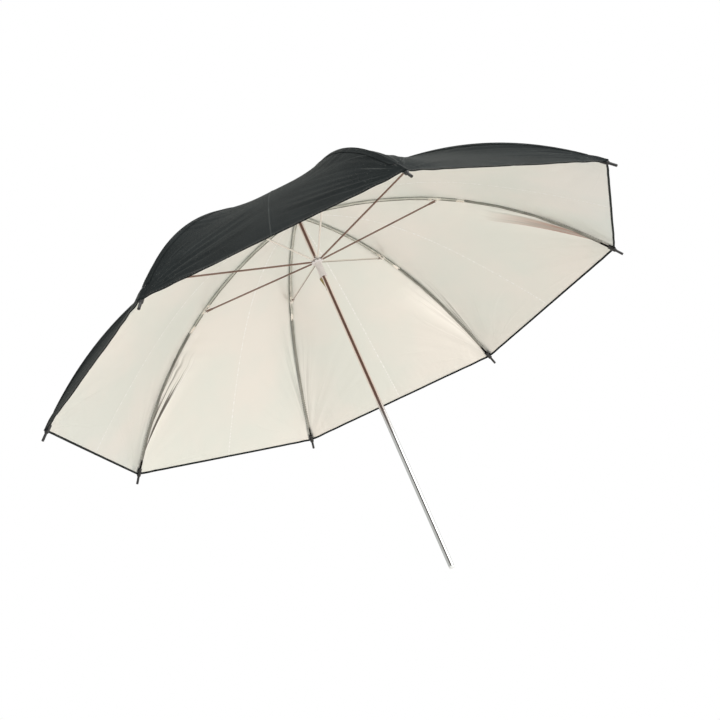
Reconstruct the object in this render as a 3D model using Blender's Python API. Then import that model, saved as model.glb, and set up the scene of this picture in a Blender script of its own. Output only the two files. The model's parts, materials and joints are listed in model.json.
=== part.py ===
"""A folding reflector umbrella for a studio light, open.

The shaft stands on +Z with the crown at the top. The origin is the centre of the flat face at the
shaft's lower end. Eight ribs hang on the crown's wire, eight stretchers push them out from the
runner, and eight fabric gores close the dome. Each gore is cut at its middle crease into two halves,
and each half belongs to its nearer rib. All lengths are in metres.
"""

from math import atan, atan2, cos, pi, radians, sin

import bmesh
import bpy
from mathutils import Matrix, Vector

# The dome: the curve that each rib's middle line follows, from the crown down to the rim.
RIB_COUNT = 8
RIM_RADIUS = 0.448
RIM_HEIGHT = 0.368
DOME_SQUARE_DROP = 0.318 * RIM_RADIUS
DOME_FOURTH_DROP = 0.139 * RIM_RADIUS
HALF_GORE_ANGLE = pi / RIB_COUNT

# The fabric. The gores sag a little towards the shaft between the ribs.
FABRIC_THICKNESS = 0.0008
FABRIC_LIFT = 0.0025
FABRIC_SAG = 0.0095
FABRIC_INNER_RADIUS = 0.0100
FABRIC_COLUMNS = 3
SEAM_HALF_GAP = 0.00015
COLLAR_CUT_WIDTH = 0.0010

# Ribs: an inner U channel as far as the splice, and a slimmer channel from there to the tip.
GAP = 0.0003
RIB_WIDTH = 0.0034
RIB_DEPTH = 0.0028
RIB_WALL = 0.0005
OUTER_RIB_WIDTH = 0.0024
OUTER_RIB_DEPTH = 0.0020
SPLICE_RADIUS = 0.572 * RIM_RADIUS
JOINT_RADIUS = 0.479 * RIM_RADIUS
JOINT_DROP = 0.0035
INNER_RIB_STEPS = 6
OUTER_RIB_STEPS = 4
SPLICE_CLEARANCE = 0.0005
TIP_SEAT = 0.0035
ROOT_PLUG_LENGTH = 0.0040
CLIP_LENGTH = 0.0090
CLIP_WALL = 0.0004

# The tie wires that carry the ribs on the crown and the stretchers on the runner.
PIVOT_RADIUS = 0.0070
WIRE_RADIUS = 0.00045
EYE_RADIUS = 0.0015
EYE_HOLE_RADIUS = 0.0008
EYE_THICKNESS = 0.0012
EYE_REACH = 0.0034
EYE_SIDES = 10
NECK_INSET = 0.00005
NECK_OVERLAP = 0.0020
WIRE_SIDES = 6
HUB_RADIUS = 0.0088
HUB_HALF_HEIGHT = 0.0020
HUB_SLOT_WIDTH = 0.0019
HUB_SLOT_DEPTH_RADIUS = 0.0051
HUB_GROOVE_RADIUS = 0.0062
HUB_GROOVE_HALF_HEIGHT = 0.0008

# Stretchers, and the rivets that join them to the ribs.
STRETCHER_WIDTH = 0.0022
STRETCHER_DEPTH = 0.0019
STRETCHER_NECK_INSET = 0.0002
FORK_LENGTH = 0.0125
FORK_OVERLAP = 0.0030
FORK_BRIDGE = 0.0040
FORK_EXTRA_HEIGHT = 0.0001
FORK_ARM_THICKNESS = 0.0008
FORK_EYE_RADIUS = 0.0016
RIVET_RADIUS = 0.0008
RIVET_HEAD_RADIUS = 0.0014
RIVET_HEAD_THICKNESS = 0.0006
RIVET_OVERLAP = 0.0002
LUG_WIDTH = 0.0022
LUG_LENGTH = 0.0060
LUG_SKIRT = 0.0005

# The shaft and what sits on it.
SHAFT_RADIUS = 0.0040
SHAFT_BORE_RADIUS = 0.0032
SLIDING_BORE_RADIUS = SHAFT_RADIUS + GAP
PLUG_FLANGE = 0.0030
PLUG_STEM_LENGTH = 0.0150
PLUG_CHAMFER = 0.0006
RUNNER_RADIUS = 0.0053
RUNNER_LENGTH = 0.0290
RUNNER_LIP_RADIUS = 0.0061
RUNNER_LIP_HEIGHT = 0.0022
RUNNER_LIP_SLOPE = 0.0008
RUNNER_SHOULDER = 0.0015
STOP_PIN_RADIUS = 0.0009
STOP_PIN_HALF_LENGTH = 0.0053
STOP_PIN_RISE = 0.0055
WASHER_RADIUS = 0.0150
WASHER_RISE = 0.0036
WASHER_THICKNESS = 0.0010
WASHER_BEVEL = 0.0030
CAP_RADIUS = 0.0062
CAP_HEIGHT = 0.0150
CAP_BORE_DEPTH = 0.0080
CAP_DOME_RADIUS = 0.0053
CAP_DOME_RISE = 0.0047
CAP_DOME_STEPS = 3
CAP_NECK_HEIGHT = 0.0038
CAP_BRIM = 0.0012

# The catch: a leaf in a slot of the shaft, whose nose holds the runner up.
CATCH_AZIMUTH = radians(260)
CATCH_THICKNESS = 0.0014
CATCH_HEIGHT = 0.0200
CATCH_PROUD = 0.0032
CATCH_CLEARANCE = 0.0010
CATCH_PIVOT_RADIUS = 0.0018
CATCH_FOOT_HALF_WIDTH = 0.0008
CATCH_FOOT_DROP = 0.0012
CATCH_RAMP_START = 0.0044
CATCH_NOSE_DROP = 0.0012
CATCH_NOSE_CHAMFER = 0.0006
CATCH_SLOT_MARGIN = 0.0020

# Rib tips: a collar on the rib's end and a rod that stands out past the hem.
TIP_COLLAR_RADIUS = 0.0031
TIP_COLLAR_LENGTH = 0.0110
TIP_BORE_RADIUS = 0.0019
TIP_ROD_RADIUS = 0.0019
TIP_ROD_LENGTH = 0.0146
TIP_ROD_CHAMFER = 0.0004
TIP_COLLAR_CHAMFER = 0.0006
TIP_COLLAR_END = 0.0012
TIP_ROD_START = 0.0030
TIP_BORE_END = -0.0015
TIP_SIDES = 10

ROUND_SIDES = 16
SMALL_SIDES = 8
SHARP_EDGE_ANGLE = radians(35)


# ---------------------------------------------------------------- the dome's curve


def dome_height(radius):
    """Height of a rib's middle line at this distance from the shaft's axis."""
    share = radius / RIM_RADIUS
    return RIM_HEIGHT + DOME_SQUARE_DROP * (1 - share**2) + DOME_FOURTH_DROP * (1 - share**4)


def dome_slope(radius):
    """Rise of the middle line per metre outwards. It is negative: the rib falls towards the rim."""
    share = radius / RIM_RADIUS
    return -(2 * DOME_SQUARE_DROP * share + 4 * DOME_FOURTH_DROP * share**3) / RIM_RADIUS


CROWN_HEIGHT = dome_height(PIVOT_RADIUS)


def rib_normal(radius):
    """Unit vector, in a rib's own X-Z plane, out of the dome."""
    slope = dome_slope(radius)
    return Vector((-slope, 0, 1)).normalized()


def rib_point(radius, lift=0.0):
    """A point on the rib's middle line, lifted out of the dome."""
    return Vector((radius, 0, dome_height(radius))) + rib_normal(radius) * lift


JOINT_POINT = rib_point(JOINT_RADIUS, -JOINT_DROP)
SPLICE_POINT = rib_point(SPLICE_RADIUS, RIB_DEPTH / 2)
CROWN_PIVOT = Vector((PIVOT_RADIUS, 0, CROWN_HEIGHT))
# The stretcher is as long as the distance from the crown's wire to the joint, and both wires have
# one radius. So the runner's wire is the crown's wire mirrored at the joint's height.
RUNNER_HEIGHT = 2 * JOINT_POINT.z - CROWN_HEIGHT
RUNNER_PIVOT = Vector((PIVOT_RADIUS, 0, RUNNER_HEIGHT))
RUNNER_BOTTOM = RUNNER_HEIGHT + HUB_HALF_HEIGHT - RUNNER_LENGTH
CATCH_TOP = RUNNER_BOTTOM - CATCH_CLEARANCE
CATCH_PIVOT_HEIGHT = CATCH_TOP - CATCH_HEIGHT
WASHER_HEIGHT = CROWN_HEIGHT + WASHER_RISE
CAP_HEIGHT_FOOT = WASHER_HEIGHT + WASHER_THICKNESS + GAP
SHAFT_TOP = CAP_HEIGHT_FOOT + CAP_BORE_DEPTH - GAP


# ---------------------------------------------------------------- materials


def plain_material(name, colour, roughness, metallic):
    material = bpy.data.materials.new(name)
    material.use_nodes = True
    shader = material.node_tree.nodes["Principled BSDF"]
    shader.inputs["Base Color"].default_value = (*colour, 1)
    shader.inputs["Roughness"].default_value = roughness
    shader.inputs["Metallic"].default_value = metallic
    return material


# ---------------------------------------------------------------- building blocks


def finished(shape, name):
    """The bmesh as a mesh, with its faces turned outwards."""
    bmesh.ops.remove_doubles(shape, verts=shape.verts, dist=1e-6)
    bmesh.ops.recalc_face_normals(shape, faces=shape.faces)
    mesh = bpy.data.meshes.new(name)
    shape.to_mesh(mesh)
    shape.free()
    return mesh


def box(low, high, turn=None):
    """A mesh of a box between two corners, turned about the origin by a matrix if one is given."""
    shape = bmesh.new()
    bmesh.ops.create_cube(shape, size=1)
    size = Vector(high) - Vector(low)
    bmesh.ops.scale(shape, vec=size, verts=shape.verts)
    bmesh.ops.translate(shape, vec=(Vector(low) + Vector(high)) / 2, verts=shape.verts)
    if turn:
        bmesh.ops.transform(shape, matrix=turn, verts=shape.verts)
    return finished(shape, "box")


def rod(radius, start, end, sides=SMALL_SIDES):
    """A mesh of a closed cylinder between two points."""
    start, end = Vector(start), Vector(end)
    shape = bmesh.new()
    bmesh.ops.create_cone(
        shape, cap_ends=True, segments=sides, radius1=radius, radius2=radius, depth=(end - start).length
    )
    turn = (end - start).to_track_quat("Z", "Y").to_matrix().to_4x4()
    place = Matrix.Translation((start + end) / 2) @ turn
    bmesh.ops.transform(shape, matrix=place, verts=shape.verts)
    return finished(shape, "rod")


def turned(outline, sides=ROUND_SIDES, turn=None):
    """A mesh of a closed outline of (radius, height) points, spun round Z."""
    shape = bmesh.new()
    corners = [shape.verts.new((radius, 0, height)) for radius, height in outline]
    edges = [
        shape.edges.new((corner, corners[(number + 1) % len(corners)]))
        for number, corner in enumerate(corners)
        if corner.co.x > 1e-9 or corners[(number + 1) % len(corners)].co.x > 1e-9
    ]
    bmesh.ops.spin(
        shape, geom=corners + edges, axis=(0, 0, 1), cent=(0, 0, 0), steps=sides, angle=2 * pi, use_merge=True
    )
    bmesh.ops.remove_doubles(shape, verts=shape.verts, dist=1e-6)
    bmesh.ops.dissolve_degenerate(shape, edges=shape.edges, dist=1e-7)
    if turn:
        bmesh.ops.transform(shape, matrix=turn, verts=shape.verts)
    return finished(shape, "turned")


def swept(section, radii, origin):
    """A mesh of a section, given as (sideways, out of the dome) points, carried along the dome."""
    shape = bmesh.new()
    rings = []
    for radius in radii:
        ring = []
        for sideways, lift in section:
            point = rib_point(radius, lift) - origin
            ring.append(shape.verts.new((point.x, sideways, point.z)))
        rings.append(ring)
    for near, far in zip(rings, rings[1:]):
        for number in range(len(section)):
            other = (number + 1) % len(section)
            shape.faces.new((near[number], near[other], far[other], far[number]))
    shape.faces.new(rings[0])
    shape.faces.new(reversed(rings[-1]))
    return finished(shape, "swept")


def channel_section(width, depth, wall):
    """A U channel whose open side faces the shaft."""
    side, top = width / 2, depth / 2
    return [
        (-side, -top),
        (-side, top),
        (side, top),
        (side, -top),
        (side - wall, -top),
        (side - wall, top - wall),
        (-side + wall, top - wall),
        (-side + wall, -top),
    ]


def evenly(first, last, steps):
    return [first + (last - first) * step / steps for step in range(steps + 1)]


def extruded(outline, thickness):
    """A mesh of a flat outline of (x, z) points, as thick as given across Y."""
    shape = bmesh.new()
    near = [shape.verts.new((x, -thickness / 2, z)) for x, z in outline]
    far = [shape.verts.new((x, thickness / 2, z)) for x, z in outline]
    for number in range(len(outline)):
        other = (number + 1) % len(outline)
        shape.faces.new((near[number], near[other], far[other], far[number]))
    shape.faces.new(near)
    shape.faces.new(reversed(far))
    return finished(shape, "extruded")


def combined(name, base, joined=(), cut=()):
    """One mesh: the base with some meshes joined to it and then some cut out of it."""
    work = bpy.data.objects.new("work", base)
    bpy.context.scene.collection.objects.link(work)
    tools = []
    for operation, meshes in (("UNION", joined), ("DIFFERENCE", cut)):
        for mesh in meshes:
            tool = bpy.data.objects.new("tool", mesh)
            bpy.context.scene.collection.objects.link(tool)
            tools.append(tool)
            modifier = work.modifiers.new(operation.lower(), "BOOLEAN")
            modifier.operation = operation
            modifier.solver = "EXACT"
            modifier.object = tool
    bpy.context.view_layer.update()
    graph = bpy.context.evaluated_depsgraph_get()
    result = bpy.data.meshes.new_from_object(work.evaluated_get(graph))
    result.name = name
    for helper in [work, *tools]:
        bpy.data.objects.remove(helper)
    return result


def placed(name, mesh, material, parent=None, location=(0, 0, 0), rotation=(0, 0, 0)):
    """A named object with its own copy of the material slot, shaded smooth except at its edges."""
    mesh.materials.clear()
    mesh.materials.append(material)
    mesh.shade_smooth()
    mesh.set_sharp_from_angle(angle=SHARP_EDGE_ANGLE)
    node = bpy.data.objects.new(name, mesh)
    bpy.context.scene.collection.objects.link(node)
    node.parent = parent
    node.location = location
    node.rotation_euler = rotation
    return node


# ---------------------------------------------------------------- hubs: crown and runner


def hub_outline(below, above):
    """Half the section of a slotted hub, with the wire's groove round its outside."""
    groove = HUB_GROOVE_HALF_HEIGHT
    return [
        (HUB_RADIUS, above),
        (HUB_RADIUS, groove),
        (HUB_GROOVE_RADIUS, groove),
        (HUB_GROOVE_RADIUS, -groove),
        (HUB_RADIUS, -groove),
        (HUB_RADIUS, below),
    ]


def hub_slots():
    """One cutter for each rib or stretcher, through the hub's whole height."""
    reach = 2 * HUB_RADIUS
    slots = []
    for number in range(RIB_COUNT):
        turn = Matrix.Rotation(2 * pi * number / RIB_COUNT, 4, "Z")
        low = (HUB_SLOT_DEPTH_RADIUS, -HUB_SLOT_WIDTH / 2, -HUB_HALF_HEIGHT - GAP)
        high = (reach, HUB_SLOT_WIDTH / 2, 2 * HUB_HALF_HEIGHT)
        slots.append(box(low, high, turn))
    return slots


def crown_mesh():
    outline = [
        (SLIDING_BORE_RADIUS, HUB_HALF_HEIGHT + GAP),
        *hub_outline(-HUB_HALF_HEIGHT, HUB_HALF_HEIGHT + GAP),
        (SLIDING_BORE_RADIUS, -HUB_HALF_HEIGHT),
    ]
    return combined("crown", turned(outline, 2 * ROUND_SIDES), cut=hub_slots())


def runner_mesh():
    bottom = HUB_HALF_HEIGHT - RUNNER_LENGTH
    outline = [
        (SLIDING_BORE_RADIUS, HUB_HALF_HEIGHT),
        *hub_outline(-HUB_HALF_HEIGHT, HUB_HALF_HEIGHT),
        (RUNNER_RADIUS, -HUB_HALF_HEIGHT - RUNNER_SHOULDER),
        (RUNNER_RADIUS, bottom + RUNNER_LIP_HEIGHT + RUNNER_LIP_SLOPE),
        (RUNNER_LIP_RADIUS, bottom + RUNNER_LIP_HEIGHT),
        (RUNNER_LIP_RADIUS, bottom),
        (SLIDING_BORE_RADIUS, bottom),
    ]
    return combined("runner", turned(outline, 2 * ROUND_SIDES), cut=hub_slots())


def wire_mesh():
    """The tie wire, a closed ring round the hub."""
    angles = [2 * pi * number / WIRE_SIDES for number in range(WIRE_SIDES)]
    section = [(PIVOT_RADIUS + WIRE_RADIUS * cos(angle), WIRE_RADIUS * sin(angle)) for angle in angles]
    return turned(section, 2 * ROUND_SIDES)


# ---------------------------------------------------------------- ribs and stretchers


def eye_and_neck(reach, half_height):
    """A flat eye round the wire, on a neck that leads out along +X."""
    eye = rod(EYE_RADIUS, (0, -EYE_THICKNESS / 2, 0), (0, EYE_THICKNESS / 2, 0), EYE_SIDES)
    neck_side = EYE_THICKNESS / 2 - NECK_INSET
    neck = box((0, -neck_side, -half_height), (reach, neck_side, half_height))
    return eye, neck


def eye_hole():
    return rod(EYE_HOLE_RADIUS, (0, -EYE_THICKNESS, 0), (0, EYE_THICKNESS, 0), SMALL_SIDES)


def clip_sides(radius, origin):
    """The two cheeks of a clip pinched round the channel."""
    cheeks = []
    half = CLIP_LENGTH / 2
    for side in (-1, 1):
        inner = side * (RIB_WIDTH / 2 - RIB_WALL / 2)
        outer = side * (RIB_WIDTH / 2 + CLIP_WALL)
        top = RIB_DEPTH / 2 - GAP
        foot = -RIB_DEPTH / 2 - GAP / 2
        section = [(inner, foot), (inner, top), (outer, top), (outer, foot)]
        cheeks.append(swept(section, [radius - half, radius + half], origin))
    return cheeks


def rib_inner_mesh():
    """The inner rib. Its origin is the crown's wire."""
    origin = CROWN_PIVOT
    root_radius = PIVOT_RADIUS + EYE_REACH
    section = channel_section(RIB_WIDTH, RIB_DEPTH, RIB_WALL)
    channel = swept(section, evenly(root_radius, SPLICE_RADIUS, INNER_RIB_STEPS), origin)
    eye, neck = eye_and_neck(EYE_REACH + NECK_OVERLAP, RIB_DEPTH / 2 - RIB_WALL / 2)
    plug_top = RIB_DEPTH / 2 - RIB_WALL / 2
    plug_side = RIB_WIDTH / 2 - RIB_WALL / 2
    plug_section = [
        (-plug_side, -RIB_DEPTH / 2 + RIB_WALL / 2),
        (-plug_side, plug_top),
        (plug_side, plug_top),
        (plug_side, -RIB_DEPTH / 2 + RIB_WALL / 2),
    ]
    root_plug = swept(plug_section, [root_radius + NECK_INSET, root_radius + ROOT_PLUG_LENGTH], origin)
    lug_section = [
        (-LUG_WIDTH / 2, -JOINT_DROP - RIVET_RADIUS - LUG_SKIRT),
        (-LUG_WIDTH / 2, RIB_DEPTH / 2 - RIB_WALL / 2),
        (LUG_WIDTH / 2, RIB_DEPTH / 2 - RIB_WALL / 2),
        (LUG_WIDTH / 2, -JOINT_DROP - RIVET_RADIUS - LUG_SKIRT),
    ]
    lug = swept(lug_section, [JOINT_RADIUS - LUG_LENGTH / 2, JOINT_RADIUS + LUG_LENGTH / 2], origin)
    joint = JOINT_POINT - origin
    arm_outside = LUG_WIDTH / 2 + GAP + FORK_ARM_THICKNESS + GAP
    rivet_end = arm_outside + RIVET_HEAD_THICKNESS
    across = Vector((0, 1, 0))
    rivet_reach = across * (arm_outside + RIVET_OVERLAP)
    rivet = rod(RIVET_RADIUS, joint - rivet_reach, joint + rivet_reach)
    heads = [
        rod(RIVET_HEAD_RADIUS, joint + across * side * arm_outside, joint + across * side * rivet_end)
        for side in (-1, 1)
    ]
    clips = clip_sides(JOINT_RADIUS, origin) + clip_sides(SPLICE_RADIUS - CLIP_LENGTH / 2 - GAP, origin)
    parts = [neck, eye, root_plug, lug, rivet, *heads, *clips]
    return combined("rib_inner", channel, parts, [eye_hole()])


def rib_outer_mesh():
    """The outer rib. Its origin is the splice, on the channel's fabric side."""
    section = channel_section(OUTER_RIB_WIDTH, OUTER_RIB_DEPTH, RIB_WALL)
    first = SPLICE_RADIUS + SPLICE_CLEARANCE
    last = RIM_RADIUS - TIP_SEAT
    between = evenly(SPLICE_RADIUS, RIM_RADIUS, OUTER_RIB_STEPS)[1:-1]
    return swept(section, [first, *between, last], SPLICE_POINT)


def rib_tip_mesh():
    """The tip, along +X from the hem's corner."""
    outline = [
        (0, TIP_ROD_LENGTH),
        (TIP_ROD_RADIUS - TIP_ROD_CHAMFER, TIP_ROD_LENGTH),
        (TIP_ROD_RADIUS, TIP_ROD_LENGTH - TIP_ROD_CHAMFER),
        (TIP_ROD_RADIUS, TIP_ROD_START),
        (TIP_COLLAR_RADIUS, TIP_COLLAR_END),
        (TIP_COLLAR_RADIUS, -TIP_COLLAR_LENGTH + TIP_COLLAR_CHAMFER),
        (TIP_COLLAR_RADIUS - TIP_COLLAR_CHAMFER, -TIP_COLLAR_LENGTH),
        (TIP_BORE_RADIUS, -TIP_COLLAR_LENGTH),
        (TIP_BORE_RADIUS, TIP_BORE_END),
        (0, TIP_BORE_END),
    ]
    to_x = Matrix.Rotation(pi / 2, 4, "Y")
    return turned(outline, TIP_SIDES, to_x)


def stretcher_mesh(length):
    """The stretcher along +X: its origin is the rivet's centre, and the wire's eye is at x = length."""
    half_width, half_depth = STRETCHER_WIDTH / 2, STRETCHER_DEPTH / 2
    bar_start = FORK_LENGTH - FORK_OVERLAP
    bar = box((bar_start, -half_width, -half_depth), (length - EYE_REACH, half_width, half_depth))
    arm_inside = LUG_WIDTH / 2 + GAP
    arm_outside = arm_inside + FORK_ARM_THICKNESS
    arm_height = half_depth + FORK_EXTRA_HEIGHT
    yoke = box((0, -arm_outside, -arm_height), (FORK_LENGTH, arm_outside, arm_height))
    fork_eye = rod(FORK_EYE_RADIUS, (0, -arm_outside, 0), (0, arm_outside, 0), EYE_SIDES)
    opening = box(
        (-2 * FORK_EYE_RADIUS, -arm_inside, -2 * arm_height),
        (FORK_LENGTH - FORK_BRIDGE, arm_inside, 2 * arm_height),
    )
    rivet_hole = rod(RIVET_RADIUS + GAP, (0, -2 * arm_outside, 0), (0, 2 * arm_outside, 0), SMALL_SIDES)
    far = Matrix.Translation((length, 0, 0))
    eye, neck = eye_and_neck(EYE_REACH + NECK_OVERLAP, half_depth - STRETCHER_NECK_INSET)
    back = far @ Matrix.Rotation(pi, 4, "Z")
    hole = eye_hole()
    for mesh in (eye, neck, hole):
        mesh.transform(back)
    return combined("stretcher", bar, [yoke, fork_eye, neck, eye], [opening, rivet_hole, hole])


# ---------------------------------------------------------------- the canopy


def half_gore_mesh(side):
    """Half a gore beside its rib, on the rib's left (side 1) or right (side -1). Origin: crown's wire.

    The inner face lies just outside the rib. Across the gore, the sheet runs straight from rib to rib
    and sags towards the shaft in the middle. The corner beside the tip's collar is cut away.
    """
    inside = FABRIC_LIFT
    bisector = Matrix.Rotation(side * HALF_GORE_ANGLE, 3, "Z")
    out_of_bisector = bisector @ Vector((0, side, 0))
    collar_start = RIM_RADIUS - TIP_COLLAR_LENGTH * cos(atan(-dome_slope(RIM_RADIUS))) - 2 * GAP
    collar_side = TIP_COLLAR_RADIUS + 2 * GAP
    root_radius = PIVOT_RADIUS + EYE_REACH
    radii = [
        FABRIC_INNER_RADIUS,
        *evenly(root_radius, SPLICE_RADIUS, INNER_RIB_STEPS)[1:],
        *evenly(SPLICE_RADIUS, RIM_RADIUS, OUTER_RIB_STEPS)[1:-1],
        collar_start - COLLAR_CUT_WIDTH,
        collar_start,
        RIM_RADIUS,
    ]

    def sheet_point(radius, share, lift):
        """share: 0 on the rib, 1 on the gore's middle crease. lift: out of the dome."""
        slope = dome_slope(radius)
        on_rib = rib_point(radius, lift)
        edge = collar_side if radius >= collar_start else SEAM_HALF_GAP
        on_rib.y = side * edge
        crease_normal = bisector @ Vector((-slope, 0, cos(HALF_GORE_ANGLE))).normalized()
        chord = bisector @ Vector((radius * cos(HALF_GORE_ANGLE), 0, 0))
        on_crease = Vector((chord.x, chord.y, dome_height(radius))) + crease_normal * lift
        on_crease -= out_of_bisector * SEAM_HALF_GAP
        rim_share = radius / RIM_RADIUS
        sag = FABRIC_SAG * 4 * rim_share * (1 - rim_share) * (1 - (1 - share) ** 2)
        return on_rib.lerp(on_crease, share) - crease_normal * sag - CROWN_PIVOT

    shape = bmesh.new()
    faces = []
    for lift in (inside, inside + FABRIC_THICKNESS):
        grid = [
            [
                shape.verts.new(sheet_point(radius, column / FABRIC_COLUMNS, lift))
                for column in range(FABRIC_COLUMNS + 1)
            ]
            for radius in radii
        ]
        faces.append(grid)
    inner, outer = faces
    last_row, last_column = len(radii) - 1, FABRIC_COLUMNS
    for grid in faces:
        for row in range(last_row):
            for column in range(last_column):
                shape.faces.new(
                    (
                        grid[row][column],
                        grid[row][column + 1],
                        grid[row + 1][column + 1],
                        grid[row + 1][column],
                    )
                )
    for row in range(last_row):
        for column in (0, last_column):
            shape.faces.new(
                (inner[row][column], inner[row + 1][column], outer[row + 1][column], outer[row][column])
            )
    for column in range(last_column):
        for row in (0, last_row):
            shape.faces.new(
                (inner[row][column], inner[row][column + 1], outer[row][column + 1], outer[row][column])
            )
    return finished(shape, "half_gore")


# ---------------------------------------------------------------- the shaft and its fittings


def shaft_mesh():
    """The tube, with the catch's slot and the stop pin's two holes."""
    foot = PLUG_FLANGE + GAP
    tube = turned(
        [
            (SHAFT_RADIUS, SHAFT_TOP),
            (SHAFT_RADIUS, foot),
            (SHAFT_BORE_RADIUS, foot),
            (SHAFT_BORE_RADIUS, SHAFT_TOP),
        ],
        2 * ROUND_SIDES,
    )
    turn = Matrix.Rotation(CATCH_AZIMUTH, 4, "Z")
    slot_side = CATCH_THICKNESS / 2 + GAP
    slot = box(
        (0, -slot_side, CATCH_PIVOT_HEIGHT - CATCH_SLOT_MARGIN),
        (2 * SHAFT_RADIUS, slot_side, CATCH_TOP + CATCH_SLOT_MARGIN),
        turn,
    )
    pin_height = RUNNER_HEIGHT + STOP_PIN_RISE
    reach = turn @ Vector((0, 2 * SHAFT_RADIUS, 0))
    up = Vector((0, 0, pin_height))
    hole = rod(STOP_PIN_RADIUS + GAP, up - reach, up + reach, SMALL_SIDES)
    return combined("shaft_tube", tube, cut=[slot, hole])


def shaft_plug_mesh():
    stem_radius = SHAFT_BORE_RADIUS - GAP
    return turned(
        [
            (0, PLUG_FLANGE + PLUG_STEM_LENGTH),
            (stem_radius, PLUG_FLANGE + PLUG_STEM_LENGTH),
            (stem_radius, PLUG_FLANGE),
            (SHAFT_RADIUS, PLUG_FLANGE),
            (SHAFT_RADIUS, PLUG_CHAMFER),
            (SHAFT_RADIUS - PLUG_CHAMFER, 0),
            (0, 0),
        ]
    )


def catch_mesh():
    """The leaf, from its foot inside the shaft to the nose under the runner. Origin: its foot's pivot."""
    nose = SHAFT_RADIUS + CATCH_PROUD - CATCH_PIVOT_RADIUS
    skin = SHAFT_RADIUS - CATCH_PIVOT_RADIUS
    outline = [
        (-CATCH_FOOT_HALF_WIDTH, -CATCH_FOOT_DROP),
        (CATCH_FOOT_HALF_WIDTH, -CATCH_FOOT_DROP),
        (skin, CATCH_RAMP_START),
        (nose, CATCH_HEIGHT - CATCH_NOSE_DROP),
        (nose - CATCH_NOSE_CHAMFER, CATCH_HEIGHT),
        (-CATCH_FOOT_HALF_WIDTH, CATCH_HEIGHT),
    ]
    return extruded(outline, CATCH_THICKNESS)


def stop_pin_mesh():
    return rod(STOP_PIN_RADIUS, (0, -STOP_PIN_HALF_LENGTH, 0), (0, STOP_PIN_HALF_LENGTH, 0), SMALL_SIDES)


def washer_mesh():
    return turned(
        [
            (WASHER_RADIUS, WASHER_THICKNESS / 2),
            (WASHER_RADIUS, 0),
            (SLIDING_BORE_RADIUS, 0),
            (SLIDING_BORE_RADIUS, WASHER_THICKNESS),
            (WASHER_RADIUS - WASHER_BEVEL, WASHER_THICKNESS),
        ],
        2 * ROUND_SIDES,
    )


def cap_mesh():
    """A round-topped ferrule over the shaft's top end."""
    shoulder = CAP_HEIGHT - CAP_DOME_RISE
    dome = [
        (CAP_DOME_RADIUS * cos(angle), shoulder + CAP_DOME_RISE * sin(angle))
        for angle in evenly(0, pi / 2, CAP_DOME_STEPS)[-2::-1]
    ]
    return turned(
        [
            (0, CAP_HEIGHT),
            *dome,
            (CAP_RADIUS, CAP_NECK_HEIGHT),
            (CAP_RADIUS + CAP_BRIM, CAP_BRIM),
            (CAP_RADIUS + CAP_BRIM, 0),
            (SLIDING_BORE_RADIUS, 0),
            (SLIDING_BORE_RADIUS, CAP_BORE_DEPTH),
            (0, CAP_BORE_DEPTH),
        ]
    )


# ---------------------------------------------------------------- assembly


def build_shaft():
    chrome = plain_material("shaft_chrome", (0.72, 0.71, 0.69), 0.12, 1.0)
    brass = plain_material("catch_brass", (0.42, 0.36, 0.20), 0.35, 1.0)
    clear_plastic = plain_material("plug_plastic", (0.85, 0.86, 0.86), 0.35, 0.0)
    pale_plastic = plain_material("runner_plastic", (0.83, 0.78, 0.76), 0.40, 0.0)
    black_plastic = plain_material("cap_plastic", (0.03, 0.03, 0.03), 0.45, 0.0)
    wire_steel = plain_material("wire_steel", (0.55, 0.54, 0.52), 0.25, 1.0)
    placed("shaft_tube", shaft_mesh(), chrome)
    placed("shaft_end_plug", shaft_plug_mesh(), clear_plastic)
    placed("crown_notch", crown_mesh(), pale_plastic, location=(0, 0, CROWN_HEIGHT))
    placed("crown_wire", wire_mesh(), wire_steel, location=(0, 0, CROWN_HEIGHT))
    placed("canopy_washer", washer_mesh(), black_plastic, location=(0, 0, WASHER_HEIGHT))
    placed("top_cap", cap_mesh(), black_plastic, location=(0, 0, CAP_HEIGHT_FOOT))
    placed("runner", runner_mesh(), pale_plastic, location=(0, 0, RUNNER_HEIGHT))
    placed("runner_wire", wire_mesh(), wire_steel, location=(0, 0, RUNNER_HEIGHT))
    catch_place = Matrix.Rotation(CATCH_AZIMUTH, 3, "Z") @ Vector((CATCH_PIVOT_RADIUS, 0, CATCH_PIVOT_HEIGHT))
    placed("catch_spring", catch_mesh(), brass, location=catch_place, rotation=(0, 0, CATCH_AZIMUTH))
    pin_place = (0, 0, RUNNER_HEIGHT + STOP_PIN_RISE)
    placed("stop_pin", stop_pin_mesh(), wire_steel, location=pin_place, rotation=(0, 0, CATCH_AZIMUTH))


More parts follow.
